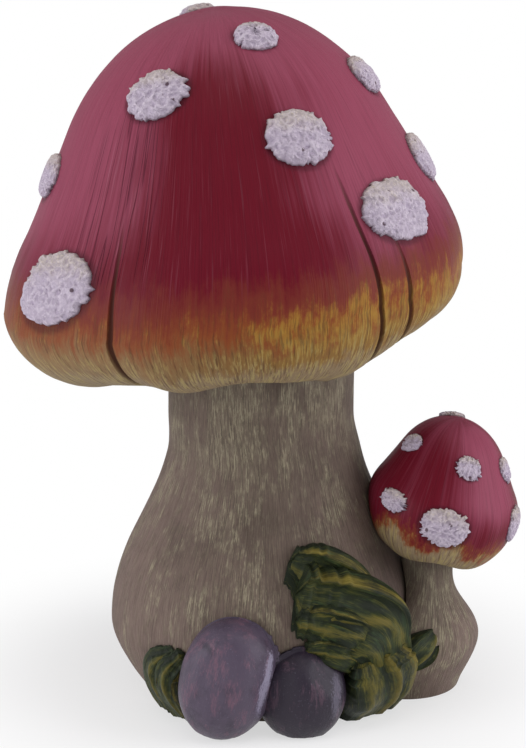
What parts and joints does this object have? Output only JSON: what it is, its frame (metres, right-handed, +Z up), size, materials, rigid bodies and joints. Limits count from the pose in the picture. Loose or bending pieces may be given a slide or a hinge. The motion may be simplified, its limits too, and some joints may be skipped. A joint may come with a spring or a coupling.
{
  "type": "toadstool figurine",
  "caption": "Free-standing resin toadstool ornament: a large red-capped toadstool with raised pale warts, a small one at its foot, pebbles and leaves.",
  "frame": {"origin": "middle of the large stalk's flat underside, on the surface that the figurine stands on", "axes": "+Z up, front faces -Y, the small toadstool stands on the +X side"},
  "size_m": [0.1805, 0.1603, 0.2406],
  "materials": {
    "cap_red": "cast resin, hand-painted satin red with ochre rim",
    "stalk_brown": "cast resin, dry-brushed matt grey-brown",
    "wart_white": "stippled modelling paste, matt",
    "pebble_purple": "cast resin, satin purple-grey",
    "leaf_green": "cast resin, dry-brushed satin green",
    "base_resin": "unpainted matt"
  },
  "bodies": {
    "root": {"base_plate": "base_resin", "cap_wart_1": "wart_white", "cap_wart_10": "wart_white", "cap_wart_11": "wart_white", "cap_wart_12": "wart_white", "cap_wart_13": "wart_white", "cap_wart_14": "wart_white", "cap_wart_15": "wart_white", "cap_wart_2": "wart_white", "cap_wart_3": "wart_white", "cap_wart_4": "wart_white", "cap_wart_5": "wart_white", "cap_wart_6": "wart_white", "cap_wart_7": "wart_white", "cap_wart_8": "wart_white", "cap_wart_9": "wart_white", "large_pebble": "pebble_purple", "leaf_front": "leaf_green", "leaf_large": "leaf_green", "leaf_left_inner": "leaf_green", "leaf_left_outer": "leaf_green", "leaf_low": "leaf_green", "leaf_middle": "leaf_green", "leaf_right": "leaf_green", "leaf_top": "leaf_green", "main_cap": "cap_red", "main_stalk": "stalk_brown", "small_cap": "cap_red", "small_cap_wart_1": "wart_white", "small_cap_wart_2": "wart_white", "small_cap_wart_3": "wart_white", "small_cap_wart_4": "wart_white", "small_cap_wart_5": "wart_white", "small_cap_wart_6": "wart_white", "small_cap_wart_7": "wart_white", "small_cap_wart_8": "wart_white", "small_cap_wart_9": "wart_white", "small_pebble": "pebble_purple", "small_stalk": "stalk_brown"}
  },
  "joints": []
}
